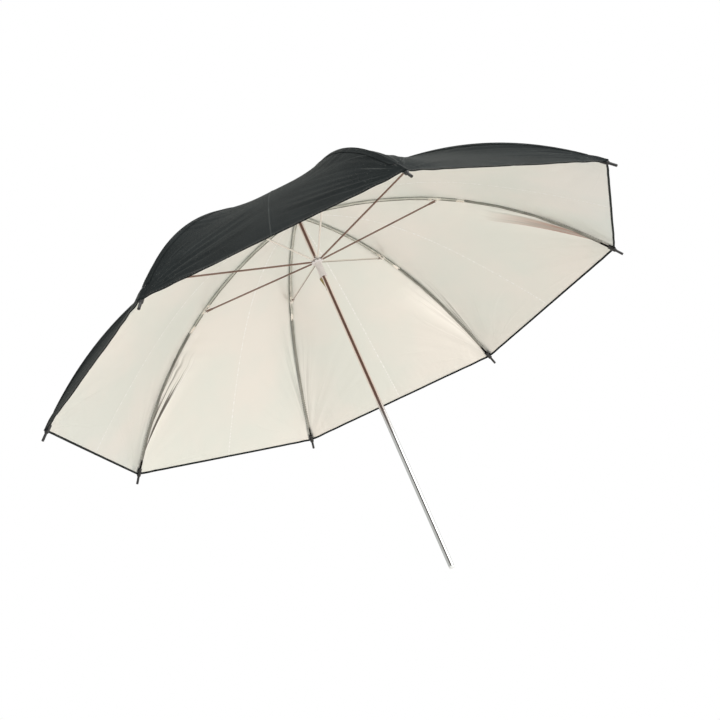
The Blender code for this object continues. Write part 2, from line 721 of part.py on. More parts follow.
def build_ribs():
    rib_steel = plain_material("rib_steel", (0.52, 0.52, 0.50), 0.30, 1.0)
    chrome = plain_material("stretcher_chrome", (0.66, 0.64, 0.60), 0.15, 1.0)
    tip_plastic = plain_material("tip_plastic", (0.02, 0.02, 0.02), 0.50, 0.0)
    stretcher_run = RUNNER_PIVOT - JOINT_POINT
    stretcher_length = stretcher_run.length
    # The stretcher's mesh points along +X, and turns about Y until it points at the runner.
    stretcher_turn = atan2(-stretcher_run.z, stretcher_run.x)
    tip_fall = atan(-dome_slope(RIM_RADIUS))
    inner, outer, tip = rib_inner_mesh(), rib_outer_mesh(), rib_tip_mesh()
    stretcher = stretcher_mesh(stretcher_length)
    for number in range(RIB_COUNT):
        label = number + 1
        arm = bpy.data.objects.new(f"arm_{label}", None)
        bpy.context.scene.collection.objects.link(arm)
        arm.rotation_euler = (0, 0, 2 * pi * number / RIB_COUNT)
        placed(f"rib_inner_{label}", inner, rib_steel, arm, CROWN_PIVOT)
        placed(f"rib_outer_{label}", outer, rib_steel, arm, SPLICE_POINT)
        placed(f"rib_tip_{label}", tip, tip_plastic, arm, rib_point(RIM_RADIUS), (0, tip_fall, 0))
        placed(f"stretcher_{label}", stretcher, chrome, arm, JOINT_POINT, (0, stretcher_turn, 0))


def build_canopy():
    black_fabric = plain_material("canopy_fabric", (0.035, 0.04, 0.042), 0.80, 0.0)
    halves = {"left": half_gore_mesh(1), "right": half_gore_mesh(-1)}
    for number in range(RIB_COUNT):
        for side, mesh in halves.items():
            name = f"canopy_{number + 1}_{side}"
            arm = bpy.data.objects[f"arm_{number + 1}"]
            placed(name, mesh, black_fabric, arm, CROWN_PIVOT)


def main():
    for old in list(bpy.data.objects):
        bpy.data.objects.remove(old)
    build_shaft()
    build_ribs()
    build_canopy()


main()
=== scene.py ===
"""The looks of the reflector umbrella: a sewn fabric canopy, metal and plastic finishes, light and camera."""

import json
import math

import bmesh
import bpy
import numpy as np
from mathutils import Matrix, Vector


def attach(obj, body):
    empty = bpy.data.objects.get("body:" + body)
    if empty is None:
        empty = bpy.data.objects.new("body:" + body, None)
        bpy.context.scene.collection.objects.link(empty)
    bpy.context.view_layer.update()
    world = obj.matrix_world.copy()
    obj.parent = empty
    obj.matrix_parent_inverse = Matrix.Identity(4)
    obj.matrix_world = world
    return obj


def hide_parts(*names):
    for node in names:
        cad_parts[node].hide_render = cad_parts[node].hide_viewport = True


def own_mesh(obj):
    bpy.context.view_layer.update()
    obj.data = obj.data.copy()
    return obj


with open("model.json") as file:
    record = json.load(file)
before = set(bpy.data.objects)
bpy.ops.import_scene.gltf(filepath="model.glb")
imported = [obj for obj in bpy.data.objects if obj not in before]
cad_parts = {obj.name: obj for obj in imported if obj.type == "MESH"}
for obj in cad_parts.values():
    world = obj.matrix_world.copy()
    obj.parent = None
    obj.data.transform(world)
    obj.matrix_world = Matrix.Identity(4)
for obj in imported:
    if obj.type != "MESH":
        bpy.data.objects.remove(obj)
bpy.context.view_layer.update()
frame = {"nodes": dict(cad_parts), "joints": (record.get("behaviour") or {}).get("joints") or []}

joints = {joint["name"]: joint for joint in frame["joints"]}

# ---------------------------------------------------------------- places, from the frame

RIB_COUNT = 8
STEP_ANGLE = 2 * math.pi / RIB_COUNT
HALF_GORE = STEP_ANGLE / 2
SIDES = {"left": 1, "right": -1}

JOINT = Vector(joints["stretcher_1_pivot"]["pos_m"])
SPLICE = Vector(joints["rib_1_flex"]["pos_m"])
RUNNER = Vector(joints["runner_pivot"]["pos_m"])
RIM_RADIUS = 0.448
RIM_HEIGHT = 0.368

# The rib's curve, the same as the CAD ribs follow: drops as shares of the rim radius.
SQUARE_DROP = 0.318
FOURTH_DROP = 0.139

# ---------------------------------------------------------------- the fabric's shape

CLOTH_THICKNESS = 0.0004
CLOTH_LIFT = 0.0024
CLOTH_START = 0.0095
SAG = 0.0150
SAG_REACH = 2.2
ROWS = 104
COLUMNS = 48
COLUMN_CROWDING = 1.4
HEM_WIDTH = 0.0018
HEM_STEP = 0.00025
HEM_THICKNESS = 0.0007
HEM_OUTER_LIFT = 0.0002
COLLAR_LIFT = 0.0013
COLLAR_REACH = 0.0200
COLLAR_HALF_WIDTH = 0.0042
SEAM_WIDTH = 0.0030
SEAM_HEIGHT = 0.00035
SEAM_STITCH_OFFSET = 0.0024
FELL_HALF_WIDTH = 0.0072
FELL_THICKNESS = 0.0003
FELL_ROWS = 60
FELL_COLUMNS = 8
FELL_LIFT = 0.0001
FELL_START = CLOTH_START + 0.004
THREAD_RADIUS = 0.00026
THREAD_LIFT = 0.0002
STITCH_PITCH = 0.0038
STITCH_LENGTH = 0.0027
HEM_STITCH_START = 0.010
SEAM_STITCH_START = 0.020
SEAM_STITCH_END = RIM_RADIUS - 0.016
SEAM_STITCH_SCALE = 0.82
CREASE_HEIGHT = 0.00045
CREASE_WIDTH = 0.0022
CURL_HEIGHT = 0.0009
SLOW_HEIGHT = 0.00040
# Length along the curved cloth for each metre of radius, near the rim.
RIM_STRETCH = 1.3
# Threads in each metre of the fabric's weave, and the least angle of an edge drawn sharp.
WEAVE_THREADS = 2600
SHARP_ANGLE = math.radians(50)


def dome_height(radius):
    share = radius / RIM_RADIUS
    drops = SQUARE_DROP * (1 - share**2) + FOURTH_DROP * (1 - share**4)
    return RIM_HEIGHT + RIM_RADIUS * drops


def dome_slope(radius):
    share = radius / RIM_RADIUS
    return -(2 * SQUARE_DROP * share + 4 * FOURTH_DROP * share**3)


def smooth(value, start, end):
    """0 before start, 1 after end, and an S curve between them."""
    t = np.clip((value - start) / (end - start), 0, 1)
    return t * t * (3 - 2 * t)


def bump(value, centre, width):
    return np.exp(-(((value - centre) / width) ** 2))


# How high the long fold beside a rib's outer half stands, where it isn't the usual one.
LONG_FOLDS = {(6, 1): 0.0009, (6, -1): 0.0026, (3, 1): 0.0024, (5, 1): 0.0012}
# The same for the short ripples beside the splice.
RIPPLES = {(6, -1): 0.0016, (4, 1): 0.0010}
# How strongly the inside shows the long fold's painted reflections (its streaks and its brown patch) and its
# painted highlight band by the rib.
REFLECTION_STREAKS = {(6, -1): 1.0, (3, 1): 0.40, (4, -1): 0.35}
USUAL_REFLECTION_STREAK = 0.12
WARM_REFLECTIONS = {(3, 1): 0.80}
HIGHLIGHT_BANDS = {(4, 1): 1.0, (6, -1): 0.6, (5, -1): 0.5, (3, 1): 0.4}
USUAL_HIGHLIGHT_BAND = 0.15


class Folds:
    """The small folds of the cloth on one side of a rib. Each side draws its own from one seed."""

    def __init__(self, number, side):
        draw = np.random.default_rng(100 + 10 * number + (side > 0))
        self.fan = [
            {
                "angle": (place + draw.uniform(-0.3, 0.3)) * 0.17,
                "width": draw.uniform(0.030, 0.050),
                "height": draw.uniform(0.0009, 0.0020),
                "reach": draw.uniform(0.070, 0.170),
            }
            for place in range(1, 7)
        ]
        self.run_height = LONG_FOLDS.get((number, side), draw.uniform(0.0002, 0.0007))
        self.run_offset = draw.uniform(0.016, 0.024)
        self.ripple_height = RIPPLES.get((number, side), draw.uniform(0.0003, 0.0007))
        self.ripple_place = draw.uniform(0.58, 0.70) * RIM_RADIUS
        self.ripple_length = draw.uniform(0.018, 0.028)
        self.phase = draw.uniform(0, 2 * math.pi, 3)

    def height(self, radius, across, share):
        """How far the cloth stands out of the dome. It is nothing on the rib and at the gore's middle."""
        hold = smooth(across, 0.0005, 0.0060) * (1 - smooth(share, 0.70, 0.98))
        # Creases that fan out from the rib's tip, where the cloth is pulled to it.
        down = (RIM_RADIUS - radius) * RIM_STRETCH
        from_tip = np.hypot(down, across)
        angle = np.arctan2(across, down + 0.0005)
        total = np.zeros_like(radius)
        for crease in self.fan:
            ridge = bump(angle, crease["angle"], crease["width"] + 0.0010 / (from_tip + 0.004))
            fade = smooth(from_tip, 0.004, 0.040) * np.exp(-((from_tip / crease["reach"]) ** 2))
            total = total + ridge * fade * crease["height"]
        # One long fold beside the rib's outer half. It closes up towards the tip.
        closing = np.clip((RIM_RADIUS - radius) / (0.40 * RIM_RADIUS), 0.10, 1.0)
        line = self.run_offset * closing
        run = bump(across, line, 0.28 * line + 0.0008)
        run -= 0.7 * bump(across, 2.0 * line, 0.40 * line + 0.001)
        run *= smooth(radius, 0.50 * RIM_RADIUS, 0.72 * RIM_RADIUS) * smooth(closing, 0.08, 0.30)
        total = total + run * self.run_height
        # Short ripples across the gore beside the splice.
        ripple = np.cos(2 * math.pi * (radius - self.ripple_place) / self.ripple_length)
        ripple *= bump(radius, self.ripple_place, 0.030) * np.exp(-across / 0.035)
        total = total + ripple * self.ripple_height
        # The hem curls a little beside the tip.
        curl = np.sin(across * 190 + self.phase[0]) * np.exp(-across / 0.040)
        curl *= bump(radius, RIM_RADIUS, 0.020)
        total = total + curl * CURL_HEIGHT
        # The slow unevenness of any cloth that is tensioned by hand.
        slow = np.sin(radius * 31 + self.phase[0]) * np.sin(across * 55 + self.phase[1])
        slow += 0.5 * np.sin(radius * 67 + across * 48 + self.phase[2])
        total = total + slow * SLOW_HEIGHT * smooth(radius, 0.02, 0.10)
        return hold * total


def cloth_point(radius, share, side, folds, lift):
    """Points of rib 1's half gore on one side. share is 0 on the rib and 1 at the gore's middle."""
    radius, share = np.broadcast_arrays(radius, share)
    slope = dome_slope(radius)
    length = np.sqrt(1 + slope**2)
    half_width = radius * math.sin(HALF_GORE)
    across = share * half_width
    on_rib = np.stack([radius, np.zeros_like(radius), dome_height(radius)], -1)
    rib_normal = np.stack([-slope / length, np.zeros_like(radius), 1 / length], -1)
    crease_angle = side * HALF_GORE
    crease_radius = radius * math.cos(HALF_GORE)
    crease_x = crease_radius * math.cos(crease_angle)
    crease_y = crease_radius * math.sin(crease_angle)
    on_crease = np.stack([crease_x, crease_y, dome_height(radius)], -1)
    flat = np.sqrt(math.cos(HALF_GORE) ** 2 + slope**2)
    crease_normal = np.stack(
        [
            -slope * math.cos(crease_angle) / flat,
            -slope * math.sin(crease_angle) / flat,
            math.cos(HALF_GORE) / flat,
        ],
        -1,
    )
    normal = rib_normal + (crease_normal - rib_normal) * smooth(share, 0.0, 0.5)[..., None]
    rim_share = radius / RIM_RADIUS
    sag = SAG * np.sin(math.pi * np.clip(rim_share, 0, 1) ** SAG_REACH)
    out = lift - sag * (1 - (1 - share) ** 3)
    out = out + folds.height(radius, across, share)
    collar = smooth(radius, RIM_RADIUS - COLLAR_REACH, RIM_RADIUS - COLLAR_REACH / 2)
    out = out + COLLAR_LIFT * collar * bump(across, 0, COLLAR_HALF_WIDTH)
    crease = smooth(radius, 0.12 * RIM_RADIUS, 0.3 * RIM_RADIUS)
    out = out + CREASE_HEIGHT * crease * np.exp(-(half_width - across) / CREASE_WIDTH)
    base = on_rib + (on_crease - on_rib) * share[..., None]
    return base + normal * out[..., None]


def turned(points, number):
    """The points of rib 1's arm, turned round to another rib."""
    angle = (number - 1) * STEP_ANGLE
    cos, sin = math.cos(angle), math.sin(angle)
    turn = np.array([[cos, -sin, 0], [sin, cos, 0], [0, 0, 1]])
    return points @ turn.T


def row_radii():
    body = np.linspace(CLOTH_START, RIM_RADIUS - HEM_WIDTH - HEM_STEP, ROWS)
    hem = RIM_RADIUS - HEM_WIDTH * np.array([1.0, 0.75, 0.5, 0.25, 0.08, 0.0])
    return np.concatenate([body, hem])


class Stitches:
    """Rows of small thread stitches, each a closed sliver with pointed ends."""

    def __init__(self):
        self.points, self.faces, self.slots = [], [], []

    def add(self, start, end, normal, slot):
        """One stitch between two points of the cloth."""
        along = end - start
        side = np.cross(along, normal)
        side *= THREAD_RADIUS / np.linalg.norm(side)
        up = normal * THREAD_RADIUS
        first = len(self.points)
        self.points.append(start)
        for share in (0.25, 0.75):
            middle = start + along * share
            self.points += [middle + side, middle + up, middle - side, middle - up]
        self.points.append(end)
        for corner in range(4):
            other = (corner + 1) % 4
            near, near_other = first + 1 + corner, first + 1 + other
            self.faces.append([first, near_other, near])
            self.faces.append([near, near_other, near_other + 4, near + 4])
            self.faces.append([first + 9, near + 4, near_other + 4])
            self.slots += [slot] * 3


def stitch_rows(side, folds):
    """The stitches of the hem and of the seam on the rib, inside and outside."""
    stitches = Stitches()
    outside = CLOTH_LIFT + CLOTH_THICKNESS + THREAD_LIFT
    sheets = ((CLOTH_LIFT - HEM_THICKNESS, CLOTH_LIFT, -1), (outside, outside + SEAM_HEIGHT, 1))
    for hem_lift, seam_lift, facing in sheets:
        normal = np.array([0.0, 0.0, 1.0]) * facing
        slot = 2 if facing > 0 else 3
        hem_radius = RIM_RADIUS - HEM_WIDTH * 0.55
        hem_length = hem_radius * math.sin(HALF_GORE)
        for place in np.arange(HEM_STITCH_START, hem_length - STITCH_PITCH, STITCH_PITCH):
            ends = np.array([place, place + STITCH_LENGTH]) / hem_length
            points = cloth_point(np.full(2, hem_radius), ends, side, folds, hem_lift)
            stitches.add(points[0], points[1], normal, slot)
        for place in np.arange(SEAM_STITCH_START, SEAM_STITCH_END, STITCH_PITCH * SEAM_STITCH_SCALE):
            ends = np.array([place, place + STITCH_LENGTH * SEAM_STITCH_SCALE])
            shares = SEAM_STITCH_OFFSET / (ends * math.sin(HALF_GORE))
            points = cloth_point(ends, shares, side, folds, seam_lift)
            stitches.add(points[0], points[1], normal, slot)
    return stitches


def shell_faces(rows, columns):
    """Faces of a closed shell of an inner and an outer sheet of points. The inner faces come first."""

    def corner(sheet, row, column):
        return sheet * rows * columns + row * columns + column

    inner, outer = [], []
    for row in range(rows - 1):
        for column in range(columns - 1):
            quad = [(row, column), (row, column + 1), (row + 1, column + 1), (row + 1, column)]
            inner.append([corner(0, *at) for at in quad])
            outer.append([corner(1, *quad[0])] + [corner(1, *at) for at in quad[:0:-1]])
    walls = []

    def add_wall(here, there, flip):
        wall = [corner(0, *here), corner(0, *there), corner(1, *there), corner(1, *here)]
        walls.append(wall[::-1] if flip else wall)

    for row in range(rows - 1):
        for column, flip in ((0, False), (columns - 1, True)):
            add_wall((row, column), (row + 1, column), flip)
    for column in range(columns - 1):
        for row, flip in ((0, True), (rows - 1, False)):
            add_wall((row, column), (row, column + 1), flip)
    return inner + outer + walls


def add_layers(mesh, metres, layers):
    """The sheet's own metres as a UV map, and numbers at each point for the materials."""
    layer = mesh.uv_layers.new(name="metres")
    loop_points = np.zeros(len(mesh.loops), np.int32)
    mesh.loops.foreach_get("vertex_index", loop_points)
    layer.data.foreach_set("uv", metres[loop_points].astype(np.float32).ravel())
    for name, values in layers.items():
        mesh.attributes.new(name, "FLOAT", "POINT").data.foreach_set("value", values.astype(np.float32))
    mesh.shade_smooth()
    mesh.set_sharp_from_angle(angle=SHARP_ANGLE)


def link_piece(name, mesh):
    piece = bpy.data.objects.new(name, mesh)
    bpy.context.scene.collection.objects.link(piece)
    return piece


def fell(number, part, start, end):
    """The doubled seam that lies on the canopy over one half of a rib, between two radii."""
    radii = np.linspace(start, end, FELL_ROWS)
    places = np.linspace(-1, 1, FELL_COLUMNS + 1)
    sheets = []
    surface = CLOTH_LIFT + CLOTH_THICKNESS + SEAM_HEIGHT
    for lift in (surface + FELL_LIFT, surface + (FELL_LIFT + FELL_THICKNESS)):
        columns = []
        for place in places:
            side = 1 if place > 0 else -1
            widths = np.minimum(FELL_HALF_WIDTH, 0.9 * radii * math.sin(HALF_GORE)) * abs(place)
            shares = widths / (radii * math.sin(HALF_GORE))
            columns.append(cloth_point(radii, shares, side, Folds(number, side), lift))
        sheets.append(np.stack(columns, 1).reshape(-1, 3))
    points = turned(np.concatenate(sheets), number)
    mesh = bpy.data.meshes.new(f"seam_{number}_{part}")
    mesh.from_pydata(points.tolist(), [], shell_faces(FELL_ROWS, FELL_COLUMNS + 1))
    mesh.materials.append(materials["black_cloth"])
    across, along = np.meshgrid(places * FELL_HALF_WIDTH, radii)
    metres = np.tile(np.stack([across, along], -1).reshape(-1, 2), (2, 1))
    # A radius far beyond the rim keeps the crease lines of the gores off the seam.
    add_layers(mesh, metres, {"share": np.zeros(len(metres)), "radius": np.ones(len(metres))})
    piece = link_piece(f"seam_{number}_{part}", mesh)
    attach(piece, f"rib_{number}_{part}")


def half_gore(number, side_name):
    """Half a gore: black cloth outside, silver inside, with a folded hem, a seam and stitches."""
    side = SIDES[side_name]
    folds = Folds(number, side)
    radii = row_radii()
    shares = np.linspace(0, 1, COLUMNS + 1) ** COLUMN_CROWDING
    radius, share = np.meshgrid(radii, shares, indexing="ij")
    across = share * radius * math.sin(HALF_GORE)
    in_hem = (radius > RIM_RADIUS - HEM_WIDTH - HEM_STEP / 2).astype(float)
    seam = SEAM_HEIGHT * (1 - smooth(across, SEAM_WIDTH * 0.8, SEAM_WIDTH * 1.2))
    outer_lift = CLOTH_LIFT + CLOTH_THICKNESS + seam + in_hem * HEM_OUTER_LIFT
    outer = cloth_point(radius, share, side, folds, outer_lift)
    inner = cloth_point(radius, share, side, folds, CLOTH_LIFT - in_hem * HEM_THICKNESS)
    rows, columns = radius.shape
    points = np.concatenate([inner.reshape(-1, 3), outer.reshape(-1, 3)])
    along = np.cumsum(np.concatenate([[0], np.diff(radii) * np.sqrt(1 + dome_slope(radii[1:]) ** 2)]))
    metres = np.stack([across, np.repeat(along[:, None], columns, 1)], -1).reshape(-1, 2)
    metres = np.concatenate([metres, metres])

    faces = shell_faces(rows, columns)
    slots = [0] * len(faces)
    for row in range(rows - 1):
        if radii[row + 1] <= RIM_RADIUS - HEM_WIDTH - HEM_STEP / 2:
            first = row * (columns - 1)
            slots[first : first + columns - 1] = [1] * (columns - 1)
    stitches = stitch_rows(side, folds)
    first = len(points)
    points = np.concatenate([points, np.array(stitches.points)])
    metres = np.concatenate([metres, np.zeros((len(stitches.points), 2))])
    faces += [[first + corner for corner in face] for face in stitches.faces]
    slots += stitches.slots
    if side < 0:
        faces = [face[::-1] for face in faces]
    mesh = bpy.data.meshes.new(f"cloth_{number}_{side_name}")
    mesh.from_pydata(turned(points, number).tolist(), [], faces)
    for name in ("black_cloth", "silver_cloth", "thread", "dark_thread"):
        mesh.materials.append(materials[name])
    mesh.polygons.foreach_set("material_index", slots)
    stitch_zeros = np.zeros(len(stitches.points))
    # How strongly this half gore shows the long fold's painted reflections and its painted highlight band.
    reflection_streaks = np.full(radius.shape, REFLECTION_STREAKS.get((number, side), USUAL_REFLECTION_STREAK))
    highlight_bands = np.full(radius.shape, HIGHLIGHT_BANDS.get((number, side), USUAL_HIGHLIGHT_BAND))
    warm_reflections = np.full(radius.shape, WARM_REFLECTIONS.get((number, side), 0.0))
    layers = {"share": share, "radius": radius, "reflection_streak": reflection_streaks, "highlight_band": highlight_bands, "warm_reflection": warm_reflections}
    for name, values in layers.items():
        layers[name] = np.concatenate([values.ravel(), values.ravel(), stitch_zeros])
    add_layers(mesh, metres, layers)
    return link_piece(f"cloth_{number}_{side_name}", mesh)


def build_canopy():
    for number in range(1, RIB_COUNT + 1):
        for side_name, side in SIDES.items():
            piece = half_gore(number, side_name)
            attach(piece, f"gore_{number}_{side_name}")
            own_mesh(piece)
            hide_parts(f"canopy_{number}_{side_name}")
        fell(number, "inner", FELL_START, SPLICE.x)
        fell(number, "outer", SPLICE.x, RIM_RADIUS - COLLAR_REACH)


# ---------------------------------------------------------------- materials

materials = {}


class Look:
    """One Principled material and short ways to add nodes to it."""

    def __init__(self, name):
        self.material = bpy.data.materials.new(name)
        self.material.use_nodes = True
        self.tree = self.material.node_tree
        self.shader = self.tree.nodes["Principled BSDF"]
        materials[name] = self.material

    def set(self, **values):
        for key, value in values.items():
            self.shader.inputs[key.replace("_", " ")].default_value = value

    def node(self, kind, **inputs):
        made = self.tree.nodes.new(kind)
        for key, value in inputs.items():
            target = made.inputs[key]
            if isinstance(value, bpy.types.NodeSocket):
                self.tree.links.new(value, target)
            else:
                target.default_value = value
        return made

    def link(self, output, name):
        self.tree.links.new(output, self.shader.inputs[name])

    def math(self, operation, first, second=0.0):
        made = self.tree.nodes.new("ShaderNodeMath")
        made.operation = operation
        for socket, value in zip(made.inputs, (first, second)):
            if isinstance(value, bpy.types.NodeSocket):
                self.tree.links.new(value, socket)
            else:
                socket.default_value = value
        return made.outputs[0]

    def ramp(self, value, low, high, start=0.0, end=1.0):
        made = self.tree.nodes.new("ShaderNodeMapRange")
        self.tree.links.new(value, made.inputs[0])
        for socket, number in zip(list(made.inputs)[1:5], (start, end, low, high)):
            socket.default_value = number
        return made.outputs[0]

    def colours(self, value, first, second):
        made = self.tree.nodes.new("ShaderNodeMix")
        made.data_type = "RGBA"
        self.tree.links.new(value, made.inputs["Factor"])
        for name, colour in (("A", first), ("B", second)):
            if isinstance(colour, bpy.types.NodeSocket):
                self.tree.links.new(colour, made.inputs[name])
            else:
                made.inputs[name].default_value = (*colour, 1)
        return made.outputs["Result"]

    def noise(self, place, scale, detail=2.0, stretch=(1, 1, 1)):
        mapping = self.node("ShaderNodeMapping", Vector=place, Scale=stretch)
        made = self.node("ShaderNodeTexNoise", Vector=mapping.outputs[0], Scale=scale, Detail=detail)
        return made.outputs[0]

    def plain_noise(self, place, detail=0.0):
        return self.node("ShaderNodeTexNoise", Vector=place, Scale=1.0, Detail=detail).outputs[0]

    def bump(self, height, strength, distance, below=None):
        made = self.node("ShaderNodeBump", Strength=strength, Distance=distance, Height=height)
        if below:
            self.tree.links.new(below, made.inputs["Normal"])
        self.link(made.outputs[0], "Normal")

    def object_place(self):
        return self.node("ShaderNodeTexCoord").outputs["Object"]

    def attribute(self, name):
        made = self.tree.nodes.new("ShaderNodeAttribute")
        made.attribute_name = name
        return made.outputs["Fac"]

    def shaft_distance(self):
        """The point's distance from the shaft's axis and its height, in the frame's coordinates."""
        parts = self.node("ShaderNodeSeparateXYZ", Vector=self.object_place())
        square = self.math("MULTIPLY", parts.outputs[0], parts.outputs[0])
        other = self.math("MULTIPLY", parts.outputs[1], parts.outputs[1])
        return self.math("SQRT", self.math("ADD", square, other)), parts.outputs[2]

    def near(self, value, centre, reach):
        """1 at the centre, 0 further away than reach."""
        gap = self.math("ABSOLUTE", self.math("SUBTRACT", value, centre))
        return self.ramp(gap, 1, 0, reach * 0.8, reach)

    def cloth_place(self):
        """Distance from the rib, distance from the middle crease and place seen from the rib's tip."""
        share, radius = self.attribute("share"), self.attribute("radius")
        half_width = self.math("MULTIPLY", radius, math.sin(HALF_GORE))
        across = self.math("MULTIPLY", share, half_width)
        from_crease = self.math("SUBTRACT", half_width, across)
        down = self.math("MULTIPLY", self.math("SUBTRACT", RIM_RADIUS, radius), RIM_STRETCH)
        angle = self.math("ARCTAN2", across, self.math("ADD", down, 0.0005))
        across_square = self.math("MULTIPLY", across, across)
        squares = self.math("ADD", across_square, self.math("MULTIPLY", down, down))
        return across, from_crease, angle, self.math("SQRT", squares)

    def tip_lines(self, angle, from_tip, width):
        """Thin crease lines that fan out from the rib's tip."""
        seed = self.math("MULTIPLY", self.node("ShaderNodeObjectInfo").outputs["Random"], 40.0)
        place = self.node("ShaderNodeCombineXYZ", X=self.math("MULTIPLY", from_tip, 9.0), Y=seed, Z=angle)
        wander = self.plain_noise(place.outputs[0])
        turn = self.math("ADD", self.math("MULTIPLY", angle, 11.0), self.math("MULTIPLY", wander, 5.0))
        line = self.near(self.math("SINE", self.math("ADD", turn, seed)), 0.0, width)
        place = self.node("ShaderNodeCombineXYZ", X=self.math("MULTIPLY", angle, 5.0), Y=seed)
        chosen = self.plain_noise(place.outputs[0])
        line = self.math("MULTIPLY", line, self.ramp(chosen, 0, 1, 0.42, 0.58))
        start = self.ramp(from_tip, 0, 1, 0.008, 0.030)
        fade = self.math("MULTIPLY", start, self.ramp(from_tip, 1, 0, 0.05, 0.17))
        return self.math("MULTIPLY", line, fade)

    def weave(self, threads_per_metre):
        """The height of a plain weave, and the sheet's own metres that it comes from."""
        uv = self.node("ShaderNodeUVMap").outputs[0]
        parts = self.node("ShaderNodeSeparateXYZ", Vector=uv)
        turn = math.pi * threads_per_metre
        across = self.math("SINE", self.math("MULTIPLY", parts.outputs[0], turn))
        along = self.math("SINE", self.math("MULTIPLY", parts.outputs[1], turn))
        return self.math("MULTIPLY", across, along), uv


def black_cloth():
    look = Look("black_cloth")
    height, uv = look.weave(WEAVE_THREADS)
    patches = look.noise(uv, 14, 3)
    fine = look.noise(uv, 430, 3)
    tone = look.math("ADD", look.math("MULTIPLY", patches, 0.45), look.math("MULTIPLY", fine, 0.55))
    cloth = look.colours(look.ramp(tone, 0, 1, 0.3, 0.7), (0.0045, 0.0068, 0.0073), (0.0210, 0.0258, 0.0266))
    _, from_crease, angle, from_tip = look.cloth_place()
    lines = look.tip_lines(angle, from_tip, 0.13)
    on_crease = look.ramp(from_crease, 1, 0, 0.0004, 0.0012)
    crease = look.math("MULTIPLY", on_crease, look.ramp(patches, 0.3, 1, 0.4, 0.6))
    # Painted highlight: the fan lines from the rib's tip are lightened as if their ridges caught the light.
    # The middle crease is lightened too.
    ridge_highlight_and_crease = look.math("MAXIMUM", look.math("MULTIPLY", lines, 0.60), look.math("MULTIPLY", crease, 0.45))
    cloth = look.colours(ridge_highlight_and_crease, cloth, (0.095, 0.102, 0.100))
    specks = look.ramp(look.noise(uv, 1300, 0), 0, 1, 0.80, 0.84)
    specks = look.math("MULTIPLY", specks, look.ramp(from_tip, 1, 0, 0.05, 0.13))
    look.link(look.colours(specks, cloth, (0.45, 0.46, 0.42)), "Base Color")
    look.set(Roughness=0.55, Sheen_Weight=0.062, Sheen_Roughness=0.20, Sheen_Tint=(0.62, 0.62, 0.48, 1))
    look.set(Specular_IOR_Level=0.03)
    ridges = look.node("ShaderNodeBump", Strength=0.3, Distance=0.0008, Height=lines)
    look.bump(height, 0.25, 0.00012, ridges.outputs[0])


